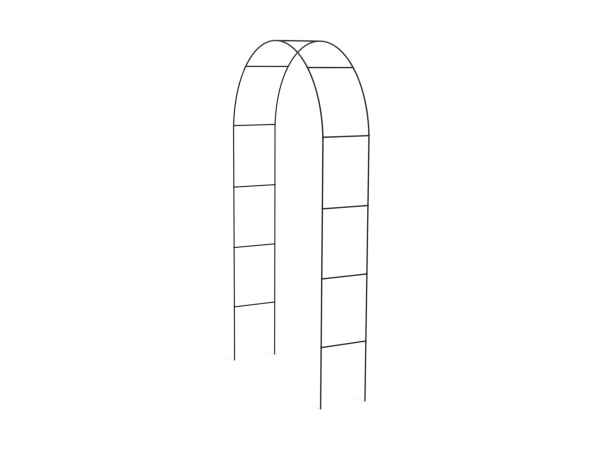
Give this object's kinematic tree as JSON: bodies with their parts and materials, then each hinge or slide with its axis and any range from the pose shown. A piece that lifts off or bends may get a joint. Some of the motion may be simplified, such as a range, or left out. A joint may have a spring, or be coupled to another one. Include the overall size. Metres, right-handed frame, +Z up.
{
  "type": "garden trellis arch",
  "caption": "Free-standing garden arch of thin black steel tube: two round-headed hoops of plug-together tubes, joined by screwed cross rungs for climbing plants.",
  "frame": {"origin": "on the ground at the middle of the arch, midway between the four legs", "axes": "+Z up, +X across the walkway, +Y along the walkway from the front hoop to the rear hoop"},
  "size_m": [1.362, 0.3772, 2.501],
  "materials": {
    "powder_coat": "satin black powder coat, fine orange peel",
    "black_screw": "black-passivated pan-head screws, slightly shinier than the tubes",
    "zinc_plate": "bright zinc plate on the threaded slugs inside the rungs"
  },
  "bodies": {
    "root": {"front_left_foot_tube": "powder_coat", "front_left_lower_tube": "powder_coat", "front_left_middle_tube": "powder_coat", "front_left_upper_tube": "powder_coat", "front_left_lower_bend": "powder_coat", "front_left_upper_bend": "powder_coat", "front_right_foot_tube": "powder_coat", "front_right_lower_tube": "powder_coat", "front_right_middle_tube": "powder_coat", "front_right_upper_tube": "powder_coat", "front_right_lower_bend": "powder_coat", "front_right_upper_bend": "powder_coat", "rear_left_foot_tube": "powder_coat", "rear_left_lower_tube": "powder_coat", "rear_left_middle_tube": "powder_coat", "rear_left_upper_tube": "powder_coat", "rear_left_lower_bend": "powder_coat", "rear_left_upper_bend": "powder_coat", "rear_right_foot_tube": "powder_coat", "rear_right_lower_tube": "powder_coat", "rear_right_middle_tube": "powder_coat", "rear_right_upper_tube": "powder_coat", "rear_right_lower_bend": "powder_coat", "rear_right_upper_bend": "powder_coat", "left_rung_1": "powder_coat", "left_rung_2": "powder_coat", "left_rung_3": "powder_coat", "left_rung_4": "powder_coat", "left_rung_5": "powder_coat", "right_rung_1": "powder_coat", "right_rung_2": "powder_coat", "right_rung_3": "powder_coat", "right_rung_4": "powder_coat", "right_rung_5": "powder_coat", "top_rung": "powder_coat", "left_rung_inserts": "zinc_plate", "right_rung_inserts": "zinc_plate", "top_rung_inserts": "zinc_plate", "left_rung_screws": "black_screw", "right_rung_screws": "black_screw", "top_rung_screws": "black_screw"}
  },
  "joints": []
}
